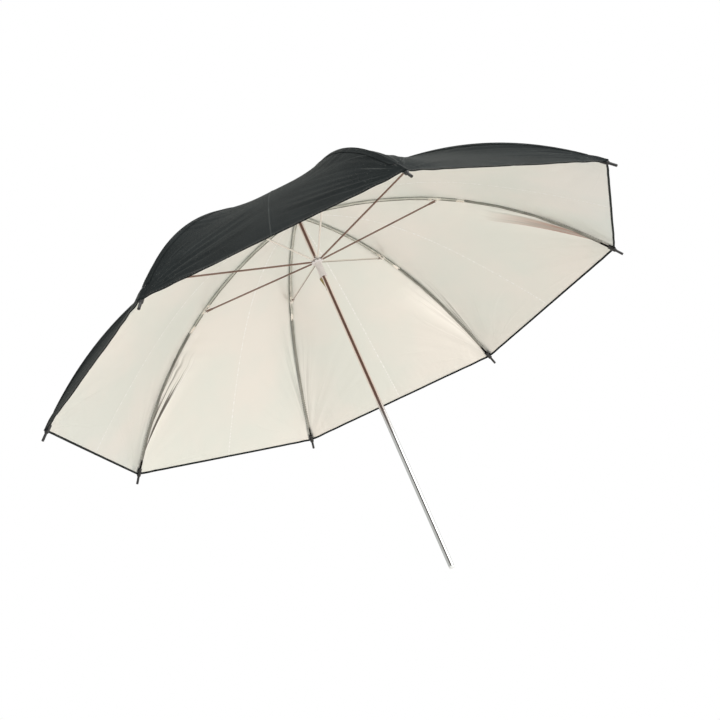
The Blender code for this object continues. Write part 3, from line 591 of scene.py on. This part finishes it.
def silver_cloth():
    look = Look("silver_cloth")
    height, uv = look.weave(WEAVE_THREADS)
    patches = look.noise(look.object_place(), 7, 3)
    across, from_crease, angle, from_tip = look.cloth_place()
    cloth = look.colours(look.ramp(patches, 0, 1, 0.38, 0.62), (0.82, 0.84, 0.795), (0.875, 0.85, 0.805))
    # Painted shade: a grey-green strip beside the rib, where the rib and its seam shade the cloth.
    rib_shade = look.ramp(across, 1, 0, 0.002, 0.006)
    rib_shade = look.math("MULTIPLY", rib_shade, look.ramp(patches, 0.2, 0.6, 0.35, 0.65))
    cloth = look.colours(rib_shade, cloth, (0.44, 0.49, 0.45))
    # Painted light of the long fold beside a rib's outer half: a painted highlight band, and streaks and a
    # brown patch that are painted reflections.
    radius = look.attribute("radius")
    outer = look.ramp(radius, 0, 1, 0.64 * RIM_RADIUS, 0.80 * RIM_RADIUS)
    closing = look.ramp(radius, 0.022, 0.002, 0.70 * RIM_RADIUS, 0.985 * RIM_RADIUS)
    place = look.math("DIVIDE", across, closing)
    # Painted highlight: a bright band beside the rib's outer half, where the long fold catches the light.
    highlight_band = look.math("MULTIPLY", look.attribute("highlight_band"), outer)
    highlight_band = look.math("MULTIPLY", highlight_band, look.ramp(place, 1, 0, 0.9, 2.6))
    cloth = look.colours(highlight_band, cloth, (1.0, 0.975, 0.93))
    # Painted reflections: dark and bright streaks in the long fold, as if it mirrored the room's dark side
    # and its lights.
    stripe_x = look.math("MULTIPLY", place, 4.4)
    stripes = look.node("ShaderNodeCombineXYZ", X=stripe_x, Y=look.math("MULTIPLY", radius, 6.0))
    wave = look.plain_noise(stripes.outputs[0], 2.0)
    zone = look.math("MULTIPLY", look.near(place, 0.72, 0.70), outer)
    reflection_streak = look.math("MULTIPLY", zone, look.attribute("reflection_streak"))
    dark_reflection_stripes = look.math("MULTIPLY", reflection_streak, look.ramp(wave, 1, 0, 0.43, 0.51))
    cloth = look.colours(dark_reflection_stripes, cloth, (0.12, 0.11, 0.095))
    bright_reflection_stripes = look.math("MULTIPLY", reflection_streak, look.ramp(wave, 0, 1, 0.53, 0.58))
    cloth = look.colours(bright_reflection_stripes, cloth, (1.0, 0.99, 0.97))
    # Painted reflection: a brown patch beside the rib, as if the fold mirrored a warm part of the room.
    warm_reflection = look.ramp(radius, 0, 1, 0.66 * RIM_RADIUS, 0.86 * RIM_RADIUS)
    warm_reflection = look.math("MULTIPLY", look.near(place, 0.95, 0.34), warm_reflection)
    warm_reflection = look.math("MULTIPLY", warm_reflection, look.ramp(wave, 0.45, 1, 0.40, 0.52))
    warm_reflection = look.math("MULTIPLY", warm_reflection, look.ramp(radius, 1, 0, 0.93 * RIM_RADIUS, 0.99 * RIM_RADIUS))
    cloth = look.colours(look.math("MULTIPLY", warm_reflection, look.attribute("warm_reflection")), cloth, (0.36, 0.18, 0.13))
    dots = look.ramp(look.noise(uv, 260, 0), 0, 1, 0.50, 0.60)
    on_crease = look.ramp(from_crease, 1, 0, 0.0005, 0.0012)
    crease = look.math("MULTIPLY", on_crease, look.math("ADD", dots, 0.25))
    look.link(look.colours(crease, cloth, (0.99, 0.99, 0.98)), "Base Color")
    look.set(Metallic=0.50, Roughness=0.33)
    lines = look.tip_lines(angle, from_tip, 0.20)
    wrinkles = look.noise(uv, 42, 2, (1.0, 0.45, 1))
    toward_rim = look.ramp(radius, 0, 3, 0.84 * RIM_RADIUS, RIM_RADIUS)
    wrinkles = look.math("MULTIPLY", wrinkles, toward_rim)
    raised = look.math("ADD", look.math("ADD", lines, crease), wrinkles)
    ridges = look.node("ShaderNodeBump", Strength=0.4, Distance=0.0009, Height=raised)
    look.bump(height, 0.10, 0.0001, ridges.outputs[0])


def thread(name, dark, bright):
    look = Look(name)
    twist = look.noise(look.object_place(), 2500, 2)
    look.link(look.colours(look.ramp(twist, 0, 1, 0.4, 0.65), dark, bright), "Base Color")
    look.set(Roughness=0.7, Sheen_Weight=0.2)


def shaft_chrome():
    """Polished tube with painted reflections: its middle is painted dark, as if it mirrored the dark side of
    the room, where the viewer stands.
    """
    look = Look("chrome")
    place = look.object_place()
    facing = look.node("ShaderNodeLayerWeight", Blend=0.5).outputs["Facing"]
    patches = look.noise(place, 18, 2, (1, 1, 0.4))
    height = look.shaft_distance()[1]
    inside = look.ramp(height, 0, 1, 0.20, 0.27)
    shift = look.math("MULTIPLY", look.math("SUBTRACT", patches, 0.5), 0.06)
    narrower = look.math("SUBTRACT", look.math("ADD", facing, shift), look.ramp(inside, 0.0, 0.11))
    above_runner = look.ramp(height, 0.0, 0.04, RUNNER.z + 0.01, RUNNER.z + 0.02)
    narrower = look.math("SUBTRACT", narrower, above_runner)
    # Painted reflections: a dark band down the middle and pale sides, brown and pink inside the canopy, and
    # grey edges.
    painted_reflection_band = look.ramp(narrower, 0, 1, 0.03, 0.12)
    dark = look.colours(inside, (0.30, 0.29, 0.28), (0.17, 0.10, 0.085))
    bright = look.colours(inside, (0.74, 0.75, 0.74), (0.92, 0.84, 0.81))
    tube = look.colours(painted_reflection_band, dark, bright)
    painted_edge_reflection = look.math("MULTIPLY", look.ramp(facing, 0, 1, 0.45, 0.75), look.ramp(inside, 1, 0))
    look.link(look.colours(painted_edge_reflection, tube, (0.40, 0.41, 0.40)), "Base Color")
    grains = look.noise(place, 500, 2, (1, 1, 0.15))
    look.link(look.ramp(grains, 0.08, 0.16), "Roughness")
    look.set(Metallic=1.0)
    look.bump(grains, 0.1, 0.00005)


def stretcher_chrome():
    """Thin plated bars with painted reflections: brown where they would mirror the room's dark side, pale
    where they would mirror the fabric.
    """
    look = Look("stretcher_chrome")
    place = look.object_place()
    reflection = look.node("ShaderNodeTexCoord").outputs["Reflection"]
    mirrored = look.node("ShaderNodeSeparateXYZ", Vector=reflection)
    # Painted reflection: the colour is chosen from the reflected direction.
    dark_reflection_share = look.near(mirrored.outputs[2], -0.29, 0.37)
    toward_x = look.math("MULTIPLY", mirrored.outputs[0], 0.95)
    toward_y = look.math("MULTIPLY", mirrored.outputs[1], 0.30)
    toward = look.math("SUBTRACT", toward_x, toward_y)
    dark_reflection_share = look.math("MAXIMUM", dark_reflection_share, look.ramp(toward, 0, 1, 0.0, 0.3))
    grains = look.noise(place, 500, 2)
    look.link(look.colours(dark_reflection_share, (0.82, 0.81, 0.78), (0.25, 0.165, 0.14)), "Base Color")
    look.link(look.ramp(grains, 0.12, 0.24), "Roughness")
    look.set(Metallic=1.0)
    look.bump(grains, 0.1, 0.00005)


def rib_steel():
    """Plated channel: brighter where the clips are pinched on."""
    look = Look("rib_steel")
    place = look.object_place()
    patches = look.noise(place, 60, 3)
    steel = look.colours(look.ramp(patches, 0, 1, 0.3, 0.7), (0.62, 0.64, 0.61), (0.78, 0.79, 0.76))
    distance = look.shaft_distance()[0]
    clips = look.math("MAXIMUM", look.near(distance, JOINT.x, 0.010), look.near(distance, SPLICE.x, 0.014))
    look.link(look.colours(clips, steel, (0.96, 0.95, 0.92)), "Base Color")
    look.link(look.ramp(clips, 0.24, 0.14), "Roughness")
    look.set(Metallic=1.0)


def outer_rib_steel():
    look = Look("outer_rib_steel")
    place = look.object_place()
    patches = look.noise(place, 60, 3)
    steel = look.colours(look.ramp(patches, 0, 1, 0.3, 0.7), (0.36, 0.36, 0.34), (0.52, 0.53, 0.50))
    end = look.ramp(look.shaft_distance()[0], 0, 1, RIM_RADIUS - 0.018, RIM_RADIUS - 0.016)
    look.link(look.colours(end, steel, (0.012, 0.012, 0.012)), "Base Color")
    look.set(Metallic=1.0, Roughness=0.28)


def metal(name, dark, bright, rough):
    look = Look(name)
    place = look.object_place()
    patches = look.noise(place, 60, 3)
    grains = look.noise(place, 400, 2, (1, 1, 0.15))
    look.link(look.colours(look.ramp(patches, 0, 1, 0.3, 0.7), dark, bright), "Base Color")
    look.link(look.ramp(grains, rough * 0.7, rough * 1.5), "Roughness")
    look.set(Metallic=1.0)
    look.bump(grains, 0.15, 0.00006)


def plastic(name, first, second, rough):
    look = Look(name)
    place = look.object_place()
    patches = look.noise(place, 90, 3)
    grains = look.noise(place, 700, 3)
    look.link(look.colours(patches, first, second), "Base Color")
    look.link(look.ramp(grains, rough * 0.8, rough * 1.25), "Roughness")
    look.bump(grains, 0.12, 0.00008)


def build_materials():
    black_cloth()
    silver_cloth()
    thread("thread", (0.02, 0.02, 0.02), (0.30, 0.25, 0.24))
    thread("dark_thread", (0.008, 0.008, 0.008), (0.03, 0.03, 0.03))
    shaft_chrome()
    stretcher_chrome()
    rib_steel()
    outer_rib_steel()
    metal("nickel", (0.78, 0.77, 0.73), (0.88, 0.87, 0.83), 0.20)
    metal("brass", (0.30, 0.25, 0.12), (0.42, 0.36, 0.19), 0.30)
    plastic("pale_plastic", (0.78, 0.72, 0.71), (0.85, 0.80, 0.78), 0.42)
    plastic("milky_plastic", (0.80, 0.81, 0.80), (0.88, 0.89, 0.88), 0.30)
    plastic("black_plastic", (0.012, 0.012, 0.013), (0.022, 0.022, 0.024), 0.40)


CAD_LOOKS = {
    "shaft_tube": "chrome",
    "shaft_end_plug": "milky_plastic",
    "crown_notch": "pale_plastic",
    "crown_wire": "nickel",
    "canopy_washer": "black_plastic",
    "top_cap": "black_plastic",
    "stop_pin": "nickel",
    "catch_spring": "brass",
    "runner": "pale_plastic",
    "runner_wire": "nickel",
    "rib_inner": "rib_steel",
    "rib_outer": "outer_rib_steel",
    "rib_tip": "black_plastic",
    "stretcher": "stretcher_chrome",
}


def dress_cad():
    for name, node in frame["nodes"].items():
        family = name.rstrip("12345678").rstrip("_")
        look = CAD_LOOKS.get(name) or CAD_LOOKS.get(family)
        if look:
            node.data.materials.clear()
            node.data.materials.append(materials[look])


# ---------------------------------------------------------------- the studio

CAMERA_DISTANCE = 4.33 * RIM_RADIUS
CAMERA_AZIMUTH = math.radians(-17.5)
CAMERA_ELEVATION = math.radians(-19.61)
CAMERA_ROLL = math.radians(-23.8)
CAMERA_LENS = 67.0
AIM = Vector((-0.0272, 0.0070, -0.0839)) * RIM_RADIUS + Vector((0, 0, RIM_HEIGHT))
FLOOR_HEIGHT = -0.95
DARK_PATCH = Vector((0.90, -0.28, 0.34)).normalized()
BRIGHT_SIDE = Vector((0.45, 0.85, -0.10)).normalized()
DIM_LIGHT = (0.62, 0.63, 0.615, 1)
BRIGHT_LIGHT = (1.18, 1.18, 1.16, 1)


def camera_direction():
    """From the rim's centre to the camera."""
    flat = math.cos(CAMERA_ELEVATION)
    return Vector(
        (flat * math.cos(CAMERA_AZIMUTH), flat * math.sin(CAMERA_AZIMUTH), math.sin(CAMERA_ELEVATION))
    )


def build_camera():
    data = bpy.data.cameras.new("camera")
    data.lens = CAMERA_LENS
    data.sensor_width = 36
    camera = bpy.data.objects.new("camera", data)
    bpy.context.scene.collection.objects.link(camera)
    camera.location = Vector((0, 0, RIM_HEIGHT)) + camera_direction() * CAMERA_DISTANCE
    look = (AIM - camera.location).to_track_quat("-Z", "Y").to_matrix().to_4x4()
    roll = Matrix.Rotation(CAMERA_ROLL, 4, "Z")
    camera.matrix_world = Matrix.Translation(camera.location) @ look @ roll
    bpy.context.scene.camera = camera


def colour_ramp(tree, value, start, first, end, second):
    """A colour that changes from first to second while value goes from start to end."""
    share = tree.nodes.new("ShaderNodeMapRange")
    tree.links.new(value, share.inputs[0])
    share.inputs[1].default_value = start
    share.inputs[2].default_value = end
    mix = tree.nodes.new("ShaderNodeMix")
    mix.data_type = "RGBA"
    mix.inputs["A"].default_value = first
    mix.inputs["B"].default_value = second
    tree.links.new(share.outputs[0], mix.inputs["Factor"])
    return mix.outputs["Result"]


def build_world():
    """White behind the object. Its light is weaker on one side and has a dark patch over the camera."""
    world = bpy.data.worlds.new("studio")
    bpy.context.scene.world = world
    world.use_nodes = True
    tree = world.node_tree
    background = tree.nodes["Background"]
    place = tree.nodes.new("ShaderNodeTexCoord")
    toward = tree.nodes.new("ShaderNodeVectorMath")
    toward.operation = "DOT_PRODUCT"
    toward.inputs[1].default_value = DARK_PATCH
    tree.links.new(place.outputs["Generated"], toward.inputs[0])
    sideways = tree.nodes.new("ShaderNodeVectorMath")
    sideways.operation = "DOT_PRODUCT"
    sideways.inputs[1].default_value = BRIGHT_SIDE
    tree.links.new(place.outputs["Generated"], sideways.inputs[0])
    sides = colour_ramp(tree, sideways.outputs["Value"], -1.0, DIM_LIGHT, 1.0, BRIGHT_LIGHT)
    patch = colour_ramp(tree, toward.outputs["Value"], 0.965, (1, 1, 1, 1), 0.985, (0.04, 0.035, 0.03, 1))
    both = tree.nodes.new("ShaderNodeMix")
    both.data_type = "RGBA"
    both.blend_type = "MULTIPLY"
    both.inputs["Factor"].default_value = 1
    tree.links.new(sides, both.inputs["A"])
    tree.links.new(patch, both.inputs["B"])
    path = tree.nodes.new("ShaderNodeLightPath")
    seen = tree.nodes.new("ShaderNodeMix")
    seen.data_type = "RGBA"
    tree.links.new(both.outputs["Result"], seen.inputs["A"])
    seen.inputs["B"].default_value = (1, 1, 1, 1)
    tree.links.new(path.outputs["Is Camera Ray"], seen.inputs["Factor"])
    tree.links.new(seen.outputs["Result"], background.inputs["Color"])


def build_floor():
    mesh = bpy.data.meshes.new("floor")
    shape = bmesh.new()
    bmesh.ops.create_grid(shape, x_segments=1, y_segments=1, size=6)
    shape.to_mesh(mesh)
    shape.free()
    look = Look("floor")
    look.set(Roughness=0.9)
    # Shiny parts see a warmer floor, as they would above a wooden one.
    glossy = look.node("ShaderNodeLightPath").outputs["Is Glossy Ray"]
    look.link(look.colours(glossy, (0.88, 0.88, 0.87), (0.88, 0.80, 0.72)), "Base Color")
    mesh.materials.append(look.material)
    floor = bpy.data.objects.new("floor", mesh)
    floor.location = (0, 0, FLOOR_HEIGHT)
    bpy.context.scene.collection.objects.link(floor)


def softbox(name, place, size, power):
    data = bpy.data.lights.new(name, "AREA")
    data.size = size
    data.energy = power
    lamp = bpy.data.objects.new(name, data)
    bpy.context.scene.collection.objects.link(lamp)
    lamp.location = place
    aim = Vector((0, 0, RIM_HEIGHT)) - lamp.location
    lamp.rotation_euler = aim.to_track_quat("-Z", "Y").to_euler()


def build_studio():
    build_camera()
    build_world()
    build_floor()
    softbox("key", (1.2, 1.6, 2.4), 1.6, 30)
    softbox("fill", (1.9, 1.5, 0.15), 1.4, 20)
    bpy.context.scene.view_settings.view_transform = "Standard"


build_materials()
dress_cad()
build_canopy()
build_studio()
